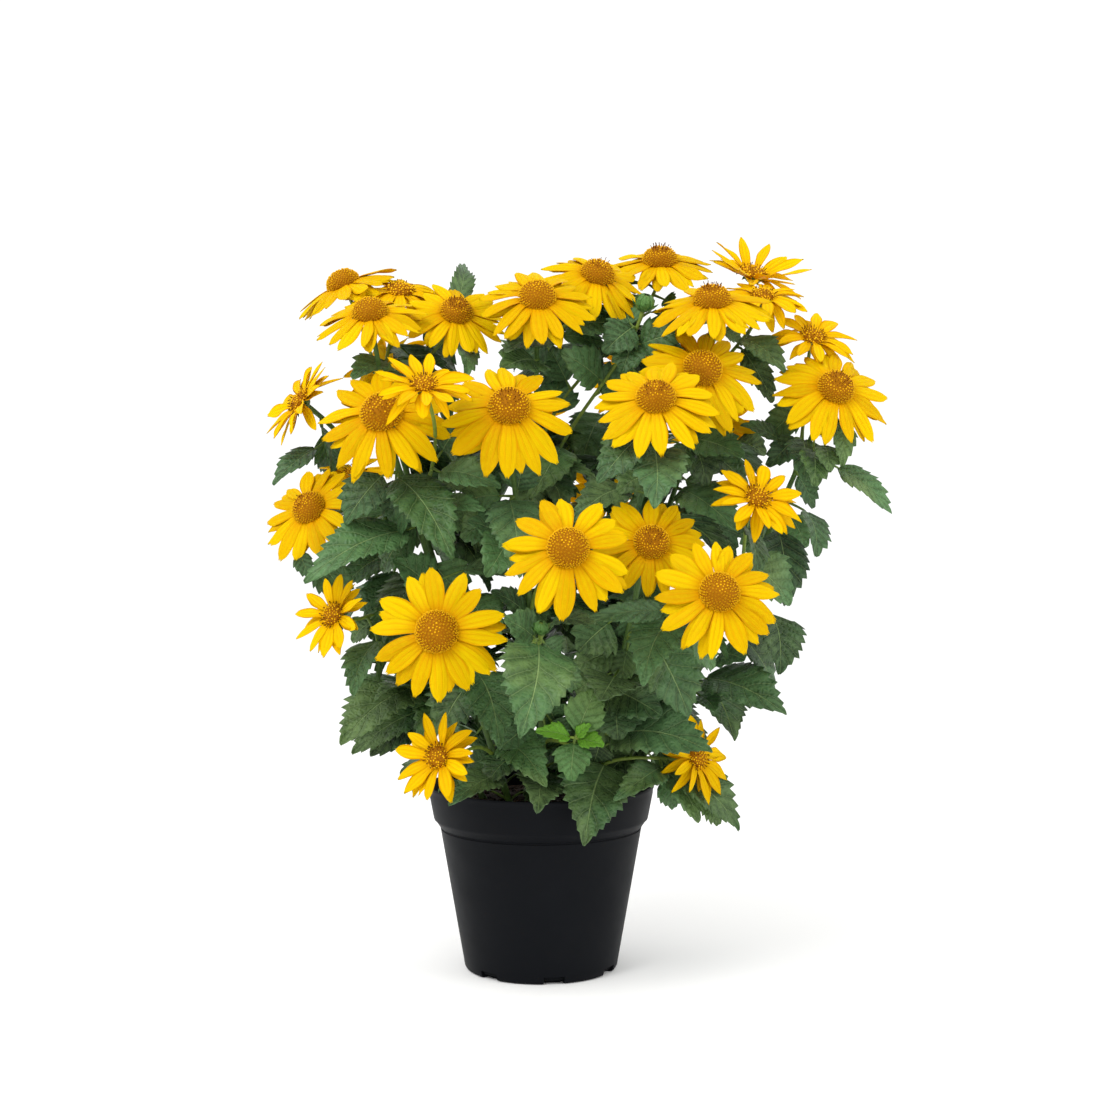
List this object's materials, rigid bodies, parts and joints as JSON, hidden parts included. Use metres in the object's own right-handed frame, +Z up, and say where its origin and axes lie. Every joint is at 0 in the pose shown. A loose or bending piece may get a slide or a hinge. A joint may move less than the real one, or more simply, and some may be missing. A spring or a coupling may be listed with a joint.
{
  "type": "potted false sunflower",
  "caption": "Bushy perennial with yellow daisy-like blooms on branching leafy stems, growing in soil in a tapered round black nursery pot.",
  "frame": {"origin": "centre of the pot's flat foot, on the surface that the pot stands on", "axes": "+Z up along the pot's axis; the pictured front of the plant faces -Y; +X is to the right of a viewer in front of it"},
  "size_m": [0.4692, 0.3817, 0.5681],
  "materials": {
    "pot_plastic": "black moulded polypropylene, satin",
    "potting_soil": "moist brown peat and bark compost, rough",
    "leaf_and_stem": "dark green leaf, slightly glossy, with paler stems",
    "ray_petals": "golden yellow petal, satin",
    "disc_florets": "orange-brown florets, rough"
  },
  "bodies": {
    "root": {"bloom_01": "ray_petals", "bloom_02_disc": "disc_florets", "bloom_02_rays": "ray_petals", "bloom_03": "ray_petals", "bloom_04": "ray_petals", "bloom_05_disc": "disc_florets", "bloom_05_rays": "ray_petals", "bloom_06": "ray_petals", "bloom_07_disc": "disc_florets", "bloom_07_rays": "ray_petals", "bloom_08": "ray_petals", "bloom_09_disc": "disc_florets", "bloom_09_rays": "ray_petals", "bloom_10_disc": "disc_florets", "bloom_10_rays": "ray_petals", "bloom_11_disc": "disc_florets", "bloom_11_rays": "ray_petals", "bloom_12_disc": "disc_florets", "bloom_12_rays": "ray_petals", "bloom_13_disc": "disc_florets", "bloom_13_rays": "ray_petals", "bloom_14": "ray_petals", "bloom_15_disc": "disc_florets", "bloom_15_rays": "ray_petals", "bloom_16": "ray_petals", "bloom_17": "ray_petals", "bloom_18_disc": "disc_florets", "bloom_18_rays": "ray_petals", "bloom_19_disc": "disc_florets", "bloom_19_rays": "ray_petals", "bloom_20": "ray_petals", "bloom_21": "ray_petals", "bloom_22_disc": "disc_florets", "bloom_22_rays": "ray_petals", "bloom_23_disc": "disc_florets", "bloom_23_rays": "ray_petals", "bloom_24_disc": "disc_florets", "bloom_24_rays": "ray_petals", "bloom_25_disc": "disc_florets", "bloom_25_rays": "ray_petals", "bloom_26": "ray_petals", "bloom_27_disc": "disc_florets", "bloom_27_rays": "ray_petals", "bloom_28_disc": "disc_florets", "bloom_28_rays": "ray_petals", "bloom_29": "ray_petals", "bloom_30": "ray_petals", "bloom_31": "ray_petals", "bloom_32": "ray_petals", "bloom_33": "ray_petals", "pot": "pot_plastic", "soil": "potting_soil", "stem_east": "leaf_and_stem", "stem_north": "leaf_and_stem", "stem_northeast": "leaf_and_stem", "stem_northwest": "leaf_and_stem", "stem_south": "leaf_and_stem", "stem_southeast": "leaf_and_stem", "stem_southwest": "leaf_and_stem", "stem_west": "leaf_and_stem"}
  },
  "joints": []
}
